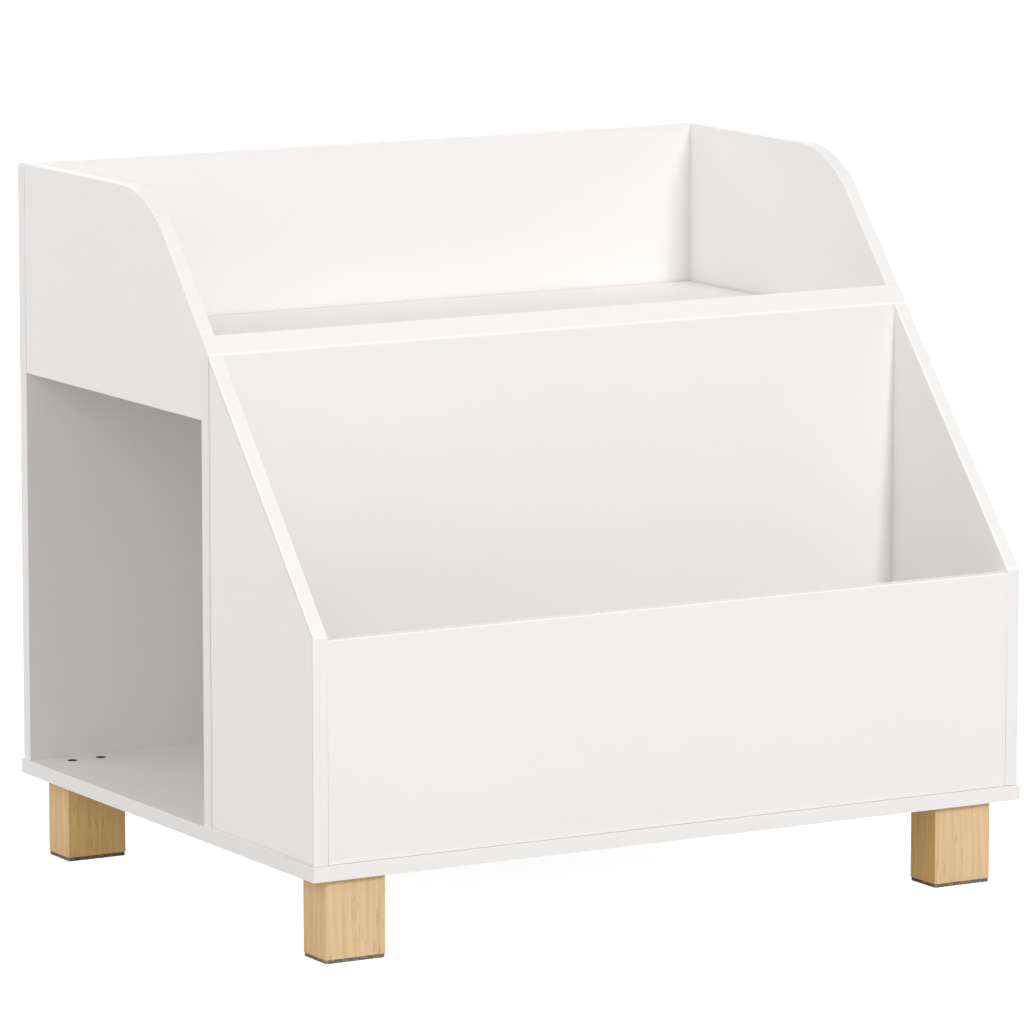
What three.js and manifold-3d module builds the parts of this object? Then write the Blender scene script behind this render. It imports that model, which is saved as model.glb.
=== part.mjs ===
// Picture book browser bin: a front bin for books shown cover-out, a book tray with a back above it,
// an open cubby under the tray, and four wooden block legs.
// Millimetres, +Z up. Seen from the front, X runs to the right and Y runs to the back.
// The origin is on the floor, under the middle of the carcass.

import * as THREE from 'three';
import { mergeVertices } from 'three/addons/utils/BufferGeometryUtils.js';
import Module from 'manifold-3d';

const wasm = await Module();
wasm.setup();

// Carcass
const PANEL = 12; // thickness of every board
const WIDTH = 640; // across the outer faces of the cheeks and side boards
const BIN_DEPTH = 168; // from the cheeks' front edges to the divider
const TRAY_DEPTH = 306; // from the divider to the back panel
const SEAM = 0.3; // gap left where one board butts against another
const BOTTOM_OVERHANG = 1.5; // the bottom panel stands out this far on every side

// Heights of the boards
const CHEEK_FRONT_HEIGHT = 176; // front edge of a cheek, above the bottom panel
const FRONT_PANEL_DROP = 3; // the front panel's top lies this far under the cheeks' front corners
const SLOPE_ANGLE = THREE.MathUtils.degToRad(49.2); // one slope for cheeks, divider edge and side boards
const TRAY_LIP = 30; // the divider's top edge stands this far above the tray floor
const BOARD_LIP = 24; // the side boards hang this far below the tray floor
const BOARD_RISE = 104; // the side boards and the back rise this far above the divider
const BOARD_CORNER_RADIUS = 100; // rounded corner between a side board's slope and its top edge
const BACK_CORNER_RADIUS = 4; // top corners of the back panel

// Legs and their pads
const LEG_WIDTH = 52;
const LEG_DEPTH = 36;
const LEG_HEIGHT = 65;
const LEG_EDGE_RADIUS = 2;
const LEG_INSET_SIDE = 17; // from the carcass faces to the legs
const LEG_INSET_FRONT = 14;
const LEG_INSET_BACK = 10;
const PAD_THICKNESS = 3;
const PAD_MARGIN = 0.5; // the pads end this far inside the legs

// Fixings
const CLEARANCE = 0.3; // between a fixing and its bore
const SCREW_DIAMETER = 4;
const SCREW_HEAD_DIAMETER = 8;
const SCREW_HEAD_HEIGHT = 3;
const SCREW_RIM = 0.6; // straight rim of the countersunk head
const SCREW_TIP = 5;
const SCREW_LENGTH = 38;
const SCREW_SINK = 0.4; // heads lie this far below a board's face
const LEG_SCREW_SINK = 3;
const LEG_SCREW_SPACING = 26;
const LONG_PANEL_SCREW_OFFSET = 220; // outer screws of the divider and back panel, from the middle
const FRONT_PANEL_SCREW_OFFSET = 150;
const TRAY_SCREW_OFFSET = 150;
const BOARD_SCREW_MARGIN = 14; // side board screws, from the board's lower edge and from the slope
const BACK_SCREW_MARGIN = 30; // side board screws in the back panel, from the board's two edges
const CAM_DIAMETER = 12;
const CAM_FLOOR = 2.5; // board left under a cam
const CAM_SINK = 0.2;
const CAM_SETBACK = 24; // from the joint to the middle of the cam
const CAM_HEIGHT = 90; // cams of the cheeks and the front panel, above the bottom panel
const TRAY_CAM_OFFSET = 180;
const BOLT_THREAD_DIAMETER = 5;
const BOLT_SHANK_DIAMETER = 4;
const BOLT_HEAD_LENGTH = 3;
const BOLT_FLOOR = 3; // board left beyond a bolt's thread
const DOWEL_DIAMETER = 6;
const DOWEL_LENGTH = 25;
const DOWEL_FLOOR = 3.5; // board left beyond a dowel
const DOWEL_DROP = 70; // cheek dowels, below the divider's front edge

// Facets
const ROUND_SIDES = 12;
const CORNER_STEPS = 12;
const SMALL_CORNER_STEPS = 3;
const BORE_REACH = 1; // a bore starts this far outside the face that it opens

// Places, worked out from the sizes above
const half = WIDTH / 2;
const depth = BIN_DEPTH + PANEL + TRAY_DEPTH + PANEL;
const front = -depth / 2;
const dividerFront = front + BIN_DEPTH;
const dividerRear = dividerFront + PANEL;
const backFront = dividerRear + TRAY_DEPTH;
const rear = backFront + PANEL;
const legTop = PAD_THICKNESS + LEG_HEIGHT;
const bottomTop = legTop + PANEL;
const cheekTop = bottomTop + CHEEK_FRONT_HEIGHT;
const slopeHeight = (y) => cheekTop + (y - front) * Math.tan(SLOPE_ANGLE);
const trayFloorTop = slopeHeight(dividerRear) - TRAY_LIP;
const trayFloorMiddle = trayFloorTop - PANEL / 2;
const boardBottom = trayFloorTop - PANEL - BOARD_LIP;
const backTop = slopeHeight(dividerRear) + BOARD_RISE;
const boardMiddle = half - PANEL / 2;
const innerWidth = WIDTH - 2 * PANEL - 2 * SEAM;

const white = new THREE.MeshStandardMaterial({ color: 0xeeedea, roughness: 0.45, metalness: 0 });
const wood = new THREE.MeshStandardMaterial({ color: 0xdcb887, roughness: 0.6, metalness: 0 });
const felt = new THREE.MeshStandardMaterial({ color: 0x35322f, roughness: 0.95, metalness: 0 });
const steel = new THREE.MeshStandardMaterial({ color: 0xb9babc, roughness: 0.35, metalness: 1 });
const zinc = new THREE.MeshStandardMaterial({ color: 0xa4a6a8, roughness: 0.5, metalness: 1 });
const beech = new THREE.MeshStandardMaterial({ color: 0xd3b083, roughness: 0.7, metalness: 0 });

const bin = new THREE.Group();

// Adds a named mesh to the bin at a place in its frame.
function add(name, geometry, material, x, y, z) {
  const mesh = new THREE.Mesh(geometry, material);
  mesh.name = name;
  mesh.position.set(x, y, z);
  bin.add(mesh);
  return mesh;
}

// Solids for cutting

// Keeps only the positions, merged, without the triangles that shrink to a line where a turned
// profile meets its axis.
function weld(geometry) {
  geometry.deleteAttribute('normal');
  geometry.deleteAttribute('uv');
  const merged = mergeVertices(geometry);
  const corners = merged.index.array;
  const kept = [];
  for (let i = 0; i < corners.length; i += 3) {
    const [a, b, c] = corners.subarray(i, i + 3);
    if (a !== b && b !== c && c !== a) {
      kept.push(a, b, c);
    }
  }
  merged.setIndex(kept);
  return merged;
}

function toManifold(geometry) {
  const welded = weld(geometry);
  const vertProperties = new Float32Array(welded.attributes.position.array);
  const triVerts = new Uint32Array(welded.index.array);
  return new wasm.Manifold(new wasm.Mesh({ numProp: 3, vertProperties, triVerts }));
}

function toGeometry(manifold) {
  const { vertProperties, triVerts } = manifold.getMesh();
  const geometry = new THREE.BufferGeometry();
  geometry.setAttribute('position', new THREE.BufferAttribute(vertProperties, 3));
  geometry.setIndex(new THREE.BufferAttribute(triVerts, 1));
  geometry.computeVertexNormals();
  return geometry;
}

// Cuts the bore that a fixing carries out of each piece that the fixing holds.
function fasten(fixing, ...pieces) {
  fixing.updateMatrix();
  for (const piece of pieces) {
    piece.updateMatrix();
    const toPiece = piece.matrix.clone().invert().multiply(fixing.matrix);
    const bore = fixing.userData.bore.clone().applyMatrix4(toPiece);
    piece.geometry = toGeometry(toManifold(piece.geometry).subtract(toManifold(bore)));
  }
}

// A solid of revolution about Z, from [radius, z] pairs that run up from the axis and back to it.
function turned(profile) {
  const points = profile.map(([radius, z]) => new THREE.Vector2(radius, z));
  return new THREE.LatheGeometry(points, ROUND_SIDES).rotateX(Math.PI / 2);
}

function rod(radius, low, high) {
  return turned([[0, low], [radius, low], [radius, high], [0, high]]);
}

// Boards

// A board whose outline lies in the YZ plane, with its thickness along X, centred on x = 0.
function sideOutlineBoard(shape, thickness) {
  const geometry = new THREE.ExtrudeGeometry(shape, {
    depth: thickness,
    bevelEnabled: false,
    curveSegments: CORNER_STEPS,
  });
  geometry.translate(0, 0, -thickness / 2);
  const along = new THREE.Matrix4().makeBasis(
    new THREE.Vector3(0, 1, 0),
    new THREE.Vector3(0, 0, 1),
    new THREE.Vector3(1, 0, 0),
  );
  return geometry.applyMatrix4(along);
}

function outline(points) {
  return new THREE.Shape(points.map(([y, z]) => new THREE.Vector2(y, z)));
}

// Outline of a side board: straight lower edge, slope, rounded corner and level top edge.
function sideBoardShape() {
  const low = dividerRear + SEAM;
  const high = backFront - SEAM;
  const cornerY = front + (backTop - cheekTop) / Math.tan(SLOPE_ANGLE);
  const slopeLength = (cornerY - low) / Math.cos(SLOPE_ANGLE);
  const roomForTangent = Math.min(slopeLength, high - cornerY);
  const radius = Math.min(BOARD_CORNER_RADIUS, roomForTangent / Math.tan(SLOPE_ANGLE / 2));
  const tangent = radius * Math.tan(SLOPE_ANGLE / 2);
  const centre = new THREE.Vector2(cornerY + tangent, backTop - radius);
  const shape = new THREE.Shape();
  shape.moveTo(low, boardBottom);
  shape.lineTo(high, boardBottom);
  shape.lineTo(high, backTop);
  shape.lineTo(centre.x, backTop);
  shape.absarc(centre.x, centre.y, radius, Math.PI / 2, Math.PI / 2 + SLOPE_ANGLE, false);
  shape.lineTo(low, slopeHeight(low));
  return shape;
}

// The back panel seen from the front, with its two top corners rounded.
function backPanelShape() {
  const height = backTop - bottomTop;
  const radius = BACK_CORNER_RADIUS;
  const shape = new THREE.Shape();
  shape.moveTo(-half, 0);
  shape.lineTo(half, 0);
  shape.absarc(half - radius, height - radius, radius, 0, Math.PI / 2, false);
  shape.absarc(radius - half, height - radius, radius, Math.PI / 2, Math.PI, false);
  return shape;
}

const bottomPanel = add(
  'bottom_panel',
  new THREE.BoxGeometry(WIDTH + 2 * BOTTOM_OVERHANG, depth + 2 * BOTTOM_OVERHANG, PANEL),
  white, 0, 0, legTop + PANEL / 2,
);

const backPanel = add(
  'back_panel',
  new THREE.ExtrudeGeometry(backPanelShape(), {
    depth: PANEL,
    bevelEnabled: false,
    curveSegments: SMALL_CORNER_STEPS,
  }),
  white, 0, rear, bottomTop,
);
backPanel.rotation.x = Math.PI / 2;

const dividerOutline = [
  [dividerFront, bottomTop],
  [dividerRear, bottomTop],
  [dividerRear, slopeHeight(dividerRear)],
  [dividerFront, slopeHeight(dividerFront)],
];
const dividerPanel = add('divider_panel', sideOutlineBoard(outline(dividerOutline), WIDTH), white, 0, 0, 0);

const frontPanelHeight = CHEEK_FRONT_HEIGHT - FRONT_PANEL_DROP;
const frontPanel = add(
  'front_panel',
  new THREE.BoxGeometry(innerWidth, PANEL, frontPanelHeight),
  white, 0, front + PANEL / 2, bottomTop + frontPanelHeight / 2,
);

const trayFloor = add(
  'tray_floor',
  new THREE.BoxGeometry(innerWidth, TRAY_DEPTH - 2 * SEAM, PANEL),
  white, 0, (dividerRear + backFront) / 2, trayFloorMiddle,
);

const cheekRear = dividerFront - SEAM;
const cheekOutline = [
  [front, bottomTop],
  [cheekRear, bottomTop],
  [cheekRear, slopeHeight(cheekRear)],
  [front, cheekTop],
];
const sides = [{ side: 'left', sign: -1 }, { side: 'right', sign: 1 }];
const cheeks = {};
const sideBoards = {};
for (const { side, sign } of sides) {
  const x = sign * boardMiddle;
  cheeks[side] = add(`${side}_front_cheek`, sideOutlineBoard(outline(cheekOutline), PANEL), white, x, 0, 0);
  sideBoards[side] = add(`${side}_side_board`, sideOutlineBoard(sideBoardShape(), PANEL), white, x, 0, 0);
}

// Fixings. Each is made along its own Z axis and turned to the way that its head or face looks.

const LOOKS_UP = [0, 0];
const LOOKS_DOWN = [Math.PI, 0];
const LOOKS_BACK = [-Math.PI / 2, 0];
const LOOKS_FORWARD = [Math.PI / 2, 0];
const LOOKS_RIGHT = [0, Math.PI / 2];
const LOOKS_LEFT = [0, -Math.PI / 2];

function addFixing(name, geometry, bore, material, place, way) {
  const fixing = add(name, geometry, material, ...place);
  fixing.rotation.set(way[0], way[1], 0);
  fixing.userData.bore = bore;
  return fixing;
}

// Profile of a countersunk wood screw, head at z = 0 and shank downwards, grown by a clearance.
function screwProfile(grow, opening) {
  const shank = SCREW_DIAMETER / 2 + grow;
  const head = SCREW_HEAD_DIAMETER / 2 + grow;
  return [
    [0, -SCREW_LENGTH - grow],
    [shank, SCREW_TIP - SCREW_LENGTH - grow],
    [shank, -SCREW_HEAD_HEIGHT - grow],
    [head, -SCREW_RIM - grow],
    [head, opening],
    [0, opening],
  ];
}

// A screw whose head lies sunk in the first piece that it holds.
function addScrew(name, place, way, sink, ...pieces) {
  const bore = turned(screwProfile(CLEARANCE, sink + BORE_REACH));
  const screw = addFixing(name, turned(screwProfile(0, 0)), bore, steel, place, way);
  fasten(screw, ...pieces);
}

// A cam lock and its bolt: the bolt is screwed into one board and reaches into the cam in the other.
// The joint is the point where the bolt leaves the first board, and the cam's face looks camWay.
function addCamLock(name, joint, boltWay, camPlace, camWay, threaded, board) {
  const camDepth = PANEL - CAM_FLOOR;
  const camRadius = CAM_DIAMETER / 2;
  const camBore = rod(camRadius + CLEARANCE, -camDepth - CLEARANCE, CAM_SINK + BORE_REACH);
  const cam = addFixing(`${name}_cam`, rod(camRadius, -camDepth, 0), camBore, zinc, camPlace, camWay);
  const thread = BOLT_THREAD_DIAMETER / 2;
  const shank = BOLT_SHANK_DIAMETER / 2;
  const threadEnd = BOLT_FLOOR - PANEL;
  const headStart = CAM_SETBACK - BOLT_HEAD_LENGTH / 2;
  const headEnd = CAM_SETBACK + BOLT_HEAD_LENGTH / 2;
  const boltGeometry = turned([
    [0, threadEnd],
    [thread, threadEnd],
    [thread, 0],
    [shank, 0],
    [shank, headStart],
    [thread, headStart],
    [thread, headEnd],
    [0, headEnd],
  ]);
  const boltBore = rod(thread + CLEARANCE, threadEnd - CLEARANCE, headEnd + CLEARANCE);
  const bolt = addFixing(`${name}_cam_bolt`, boltGeometry, boltBore, steel, joint, boltWay);
  fasten(cam, board);
  fasten(bolt, threaded, board, cam);
}

// Screws up through the bottom panel into the boards that stand on it.
const bottomScrewZ = legTop + SCREW_SINK;
const longPanels = [
  { name: 'divider', panel: dividerPanel, y: (dividerFront + dividerRear) / 2 },
  { name: 'back', panel: backPanel, y: (backFront + rear) / 2 },
];
const longPanelScrews = { left: -LONG_PANEL_SCREW_OFFSET, middle: 0, right: LONG_PANEL_SCREW_OFFSET };
for (const { name, panel, y } of longPanels) {
  for (const [side, x] of Object.entries(longPanelScrews)) {
    const place = [x, y, bottomScrewZ];
    addScrew(`${name}_bottom_screw_${side}`, place, LOOKS_DOWN, SCREW_SINK, bottomPanel, panel);
  }
}
for (const { side, sign } of sides) {
  const frontPlace = [sign * FRONT_PANEL_SCREW_OFFSET, front + PANEL / 2, bottomScrewZ];
  addScrew(`front_panel_bottom_screw_${side}`, frontPlace, LOOKS_DOWN, SCREW_SINK, bottomPanel, frontPanel);
  const cheekPlace = [sign * boardMiddle, front + BIN_DEPTH / 2, bottomScrewZ];
  addScrew(`${side}_cheek_bottom_screw`, cheekPlace, LOOKS_DOWN, SCREW_SINK, bottomPanel, cheeks[side]);
}

// Screws from behind into the side boards and the tray floor, and through the divider into the
// side boards, where the cheeks cover their heads.
const backScrewY = rear - SCREW_SINK;
const dividerScrewY = dividerFront + SCREW_SINK;
for (const { side, sign } of sides) {
  const x = sign * boardMiddle;
  const board = sideBoards[side];
  const backHeights = { lower: boardBottom + BACK_SCREW_MARGIN, upper: backTop - BACK_SCREW_MARGIN };
  for (const [level, z] of Object.entries(backHeights)) {
    const name = `${side}_board_back_screw_${level}`;
    addScrew(name, [x, backScrewY, z], LOOKS_BACK, SCREW_SINK, backPanel, board);
  }
  const dividerHeights = {
    lower: boardBottom + BOARD_SCREW_MARGIN,
    upper: slopeHeight(dividerFront) - BOARD_SCREW_MARGIN,
  };
  for (const [level, z] of Object.entries(dividerHeights)) {
    const name = `${side}_board_front_screw_${level}`;
    addScrew(name, [x, dividerScrewY, z], LOOKS_FORWARD, SCREW_SINK, dividerPanel, board);
  }
  const trayPlace = [sign * TRAY_SCREW_OFFSET, backScrewY, trayFloorMiddle];
  addScrew(`tray_floor_back_screw_${side}`, trayPlace, LOOKS_BACK, SCREW_SINK, backPanel, trayFloor);
}

// Cam locks: tray floor to divider, cheeks to divider, front panel to cheeks.
const camZ = bottomTop + CAM_HEIGHT;
for (const { side, sign } of sides) {
  const inwards = sign > 0 ? LOOKS_LEFT : LOOKS_RIGHT;
  const innerFace = sign * (half - PANEL);
  addCamLock(
    `tray_floor_${side}`,
    [sign * TRAY_CAM_OFFSET, dividerRear, trayFloorMiddle],
    LOOKS_BACK,
    [sign * TRAY_CAM_OFFSET, dividerRear + CAM_SETBACK, trayFloorTop - PANEL + CAM_SINK],
    LOOKS_DOWN,
    dividerPanel,
    trayFloor,
  );
  addCamLock(
    `${side}_cheek`,
    [sign * boardMiddle, dividerFront, camZ],
    LOOKS_FORWARD,
    [innerFace + sign * CAM_SINK, dividerFront - CAM_SETBACK, camZ],
    inwards,
    dividerPanel,
    cheeks[side],
  );
  addCamLock(
    `front_panel_${side}`,
    [innerFace, front + PANEL / 2, camZ],
    inwards,
    [innerFace - sign * CAM_SETBACK, front + PANEL - CAM_SINK, camZ],
    LOOKS_BACK,
    cheeks[side],
    frontPanel,
  );
}

// A dowel at the top of each cheek, half hidden in the divider.
const dowelStart = DOWEL_FLOOR - PANEL;
const dowelRadius = DOWEL_DIAMETER / 2;
const dowelEnd = dowelStart + DOWEL_LENGTH;
for (const { side, sign } of sides) {
  const place = [sign * boardMiddle, dividerFront, slopeHeight(dividerFront) - DOWEL_DROP];
  const bore = rod(dowelRadius + CLEARANCE, dowelStart - CLEARANCE, dowelEnd + CLEARANCE);
  const solid = rod(dowelRadius, dowelStart, dowelEnd);
  const dowel = addFixing(`${side}_cheek_dowel`, solid, bore, beech, place, LOOKS_FORWARD);
  fasten(dowel, dividerPanel, cheeks[side]);
}

// Legs, each with a felt pad under it and two screws down into it through the bottom panel.
function blockGeometry(width, length, height) {
  const x = width / 2;
  const y = length / 2;
  const radius = LEG_EDGE_RADIUS;
  const shape = new THREE.Shape();
  shape.absarc(x - radius, y - radius, radius, 0, Math.PI / 2, false);
  shape.absarc(radius - x, y - radius, radius, Math.PI / 2, Math.PI, false);
  shape.absarc(radius - x, radius - y, radius, Math.PI, 1.5 * Math.PI, false);
  shape.absarc(x - radius, radius - y, radius, 1.5 * Math.PI, 2 * Math.PI, false);
  return new THREE.ExtrudeGeometry(shape, {
    depth: height,
    bevelEnabled: false,
    curveSegments: SMALL_CORNER_STEPS,
  });
}

const legRows = [
  { row: 'front', y: front + LEG_INSET_FRONT + LEG_DEPTH / 2 },
  { row: 'rear', y: rear - LEG_INSET_BACK - LEG_DEPTH / 2 },
];
for (const { row, y } of legRows) {
  for (const { side, sign } of sides) {
    const name = `${row}_${side}_leg`;
    const x = sign * (half - LEG_INSET_SIDE - LEG_WIDTH / 2);
    const leg = add(name, blockGeometry(LEG_WIDTH, LEG_DEPTH, LEG_HEIGHT), wood, x, y, PAD_THICKNESS);
    const padWidth = LEG_WIDTH - 2 * PAD_MARGIN;
    const padDepth = LEG_DEPTH - 2 * PAD_MARGIN;
    add(`${name}_pad`, blockGeometry(padWidth, padDepth, PAD_THICKNESS), felt, x, y, 0);
    for (const [place, shift] of [['outer', sign], ['inner', -sign]]) {
      const screwX = x + shift * LEG_SCREW_SPACING / 2;
      const screwPlace = [screwX, y, bottomTop - LEG_SCREW_SINK];
      addScrew(`${name}_screw_${place}`, screwPlace, LOOKS_UP, LEG_SCREW_SINK, bottomPanel, leg);
    }
  }
}

export default bin;
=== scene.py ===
# %% [markdown]
# # A picture book browser bin
#
# This lesson dresses a plain solid model of a piece of school furniture: nine white boards, four legs of
# light wood with felt glides under them, and the screws and cam locks that hold it all together. The solid
# model comes first, as a fixed frame. Everything made here goes where that frame says, in metres, with the
# front of the bin facing -Y and the floor at z = 0.

# %% Load the frame
import math

import bmesh
import bpy
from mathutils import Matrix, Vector, noise


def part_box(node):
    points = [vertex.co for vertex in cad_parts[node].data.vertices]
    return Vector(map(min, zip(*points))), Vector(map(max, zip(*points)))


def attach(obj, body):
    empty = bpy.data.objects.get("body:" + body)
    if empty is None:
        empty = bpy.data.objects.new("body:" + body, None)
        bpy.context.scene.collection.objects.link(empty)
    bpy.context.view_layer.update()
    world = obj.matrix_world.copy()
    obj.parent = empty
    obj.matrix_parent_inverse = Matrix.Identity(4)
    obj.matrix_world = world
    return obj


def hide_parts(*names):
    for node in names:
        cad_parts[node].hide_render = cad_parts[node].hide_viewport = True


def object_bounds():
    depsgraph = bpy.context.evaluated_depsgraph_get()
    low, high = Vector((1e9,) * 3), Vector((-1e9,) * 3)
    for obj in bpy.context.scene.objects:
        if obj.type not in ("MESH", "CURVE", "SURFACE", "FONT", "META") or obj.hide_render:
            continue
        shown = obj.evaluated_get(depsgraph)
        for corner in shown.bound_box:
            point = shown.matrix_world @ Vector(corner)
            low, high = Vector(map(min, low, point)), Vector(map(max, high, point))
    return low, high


MM = 0.001
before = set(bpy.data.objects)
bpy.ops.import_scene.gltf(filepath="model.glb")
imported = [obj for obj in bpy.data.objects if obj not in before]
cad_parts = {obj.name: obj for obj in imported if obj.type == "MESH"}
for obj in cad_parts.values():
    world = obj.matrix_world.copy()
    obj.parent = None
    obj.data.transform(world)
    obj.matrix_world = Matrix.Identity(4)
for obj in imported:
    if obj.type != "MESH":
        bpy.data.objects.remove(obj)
cad_low, cad_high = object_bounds()
print("frame:", len(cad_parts), "nodes in", [round(s, 3) for s in cad_high - cad_low], "m")

# %% [markdown]
# ## The camera
#
# A product photograph like this one is taken with a long lens from far away, so that upright edges stay
# upright. So the camera stands almost six metres off, in front, to the left and well above the bin. Its
# view is given by two angles, a turn to the right and a tilt down. They become a direction, and the
# direction becomes a rotation.

# %% Set up the camera
CAMERA_LENS = 248.18
CAMERA_SENSOR = 36.0
CAMERA_REACH = 100.0
CAMERA_TURN = math.radians(30.007)
CAMERA_TILT = math.radians(9.067)
CAMERA_PLACE = Vector((-2805.83, -4852.0, 1186.73)) * MM


def link_object(name, data):
    made = bpy.data.objects.new(name, data)
    bpy.context.scene.collection.objects.link(made)
    return made


def aim(made, place, direction):
    """Puts a camera or a lamp in its place and lets it look along a direction."""
    made.location = place
    made.rotation_mode = "QUATERNION"
    made.rotation_quaternion = direction.to_track_quat("-Z", "Y")


level = math.cos(CAMERA_TILT)
looks = Vector((math.sin(CAMERA_TURN) * level, math.cos(CAMERA_TURN) * level, -math.sin(CAMERA_TILT)))
camera = link_object("camera", bpy.data.cameras.new("camera"))
camera.data.lens = CAMERA_LENS
camera.data.sensor_width = CAMERA_SENSOR
camera.data.clip_end = CAMERA_REACH
aim(camera, CAMERA_PLACE, looks)
bpy.context.scene.camera = camera
print("camera:", [round(c, 3) for c in camera.location], "lens", CAMERA_LENS, "mm")

# %% [markdown]
# ## Nodes written as Python
#
# Materials and Geometry Nodes are both graphs of nodes. Two small classes make them readable. A Link is
# one output of a node, and Python's own operators on it add Math nodes, so that `1 - mask * 0.5` is
# written as it is thought. A Graph adds any other node through one method: the kind of node, what goes
# into its sockets, and its settings.


# %% Links and graphs
def arithmetic(operation, reflected=False):
    """A method that adds a Math node, with its two sides swapped in the reflected form."""

    def method(self, other):
        first, second = (other, self) if reflected else (self, other)
        return self.graph.math(operation, first, second)

    return method


class Link:
    """One output of a node. Arithmetic on it adds Math nodes to its graph."""

    __add__ = arithmetic("ADD")
    __radd__ = arithmetic("ADD", reflected=True)
    __sub__ = arithmetic("SUBTRACT")
    __rsub__ = arithmetic("SUBTRACT", reflected=True)
    __mul__ = arithmetic("MULTIPLY")
    __truediv__ = arithmetic("DIVIDE")

    def __init__(self, graph, socket):
        self.graph = graph
        self.socket = socket

    def __neg__(self):
        return self * -1

    def out(self, name):
        """Another output of the same node."""
        return Link(self.graph, self.socket.node.outputs[name])


class Graph:
    """A node tree that grows by one method for every kind of node."""

    def __init__(self, tree):
        self.tree = tree

    def node(self, kind, inputs=None, output=0, **settings):
        """Any node, by its type, the values or links of its sockets, and its settings."""
        made = self.tree.nodes.new(kind)
        for name, value in settings.items():
            setattr(made, name, value)
        for name, value in (inputs or {}).items():
            for one in value if isinstance(value, list) else [value]:
                self.feed(made.inputs[name], one)
        return Link(self, made.outputs[output])

    def feed(self, socket, value):
        if isinstance(value, Link):
            self.tree.links.new(value.socket, socket)
        else:
            socket.default_value = value

    def math(self, operation, first, second):
        return self.node("ShaderNodeMath", {0: first, 1: second}, operation=operation)

    def xyz(self, x, y, z):
        return self.node("ShaderNodeCombineXYZ", {"X": x, "Y": y, "Z": z})


# %% [markdown]
# ## Finishes
#
# A finish is a material with a Principled shader. Values that are the same all over are set on the shader
# itself. Nodes make only what changes from place to place: colour, roughness and the height that a Bump
# node turns into tiny slopes. All patterns read Object coordinates, which here are metres in the frame of
# the whole bin, so every board has the same grain size. In the formulas, the number beside each pattern is
# its share.


# %% The finish class
# A Mix node has sockets for every kind of data. These are the ones for colours.
MIX_FACTOR, MIX_FIRST, MIX_SECOND, MIX_RESULT = 0, 6, 7, 2


class Finish(Graph):
    """A material with helpers for the textures that the finishes below share."""

    def __init__(self, name, **constants):
        self.material = bpy.data.materials.new(name)
        self.material.use_nodes = True
        super().__init__(self.material.node_tree)
        self.shader = self.tree.nodes["Principled BSDF"]
        self.place = self.node("ShaderNodeTexCoord", output="Object")
        self.paint(**constants)

    def noise(self, scale, upright=1.0, detail=2.0, roughness=0.5):
        """Soft noise, about scale lumps to the metre. An upright share under 1 draws them out along Z."""
        sockets = {"Vector": self.place, "Scale": (1, 1, upright)}
        where = self.place if upright == 1 else self.node("ShaderNodeMapping", sockets)
        sockets = {"Vector": where, "Scale": scale, "Detail": detail, "Roughness": roughness}
        return self.node("ShaderNodeTexNoise", sockets)

    def step(self, value, low, high):
        """0 below low, 1 above high, smooth between."""
        sockets = {"Value": value, "From Min": low, "From Max": high}
        return self.node("ShaderNodeMapRange", sockets, interpolation_type="SMOOTHSTEP")

    def blend(self, factor, first, second, how="MIX"):
        """A colour between two colours, or one tinted by the other."""
        sockets = {MIX_FACTOR: factor, MIX_FIRST: first, MIX_SECOND: second}
        return self.node("ShaderNodeMix", sockets, MIX_RESULT, data_type="RGBA", blend_type=how)

    def mark(self, name):
        """A number that the mesh carries on its faces."""
        return self.node("ShaderNodeAttribute", output="Fac", attribute_name=name)

    def paint(self, **sockets):
        """Sets or feeds sockets of the shader, named with _ for a space."""
        for socket, value in sockets.items():
            self.feed(self.shader.inputs[socket.replace("_", " ")], value)

    def emboss(self, height, distance, strength=1.0):
        """Ends a finish: turns a height from 0 to 1 into slopes, as if it were that many metres high."""
        sockets = {"Height": height, "Distance": distance, "Strength": strength}
        self.paint(Normal=self.node("ShaderNodeBump", sockets))
        print("finish:", self.material.name, "of", len(self.tree.nodes), "nodes")
        return self.material


# %% [markdown]
# ## White faced board
#
# The boards are pressed wood with a white, satin facing, and a white band glued round their edges. The
# facing has a fine orange peel that breaks reflections up, and it scatters light a little unevenly. The
# band is a touch rougher and cooler, its free arrises are painted whiter as a painted highlight, and the
# glue line beside it is dark. The mesh carries marks for band, arrises and glue on its faces, and the
# material reads them. In the bores the pressed chips of the core show, painted a dark brown far darker
# than raw board, as painted shade.

# %% White board, and the raw board in its bores, painted dark as shade
FACING_DARK = (0.872, 0.856, 0.847, 1)
FACING_LIGHT = (0.888, 0.872, 0.863, 1)
BAND_WHITE = (0.884, 0.870, 0.864, 1)
# The free arrises are painted this whiter colour: a painted highlight.
ARRIS_HIGHLIGHT_WHITE = (0.955, 0.950, 0.945, 1)
GLUE_BROWN = (0.36, 0.33, 0.29, 1)
# The core in the bores is painted far darker than raw board: painted shade in the holes.
CORE_SHADE_DARK = (0.035, 0.026, 0.018, 1)
CORE_SHADE_LIGHT = (0.110, 0.080, 0.052, 1)


def white_board():
    finish = Finish("white_board", Specular_IOR_Level=0.45)
    peel = finish.noise(scale=900.0, detail=3.0, roughness=0.55)
    clouds = finish.noise(scale=7.0)
    rolled = finish.noise(scale=160.0, upright=0.2)
    band = finish.mark("band")
    glue = finish.mark("glue")
    facing = finish.blend(clouds, FACING_DARK, FACING_LIGHT)
    edged = finish.blend(band, facing, BAND_WHITE)
    # Painted highlight: the free arrises are blended towards a whiter colour.
    highlighted = finish.blend(finish.mark("arris"), edged, ARRIS_HIGHLIGHT_WHITE)
    finish.paint(
        Base_Color=finish.blend(glue, highlighted, GLUE_BROWN),
        Roughness=0.40 + rolled * 0.10 + band * 0.25 + glue * 0.1,
    )
    return finish.emboss(peel * 0.7 + rolled * 0.3, distance=0.02 * MM, strength=0.6)


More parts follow.
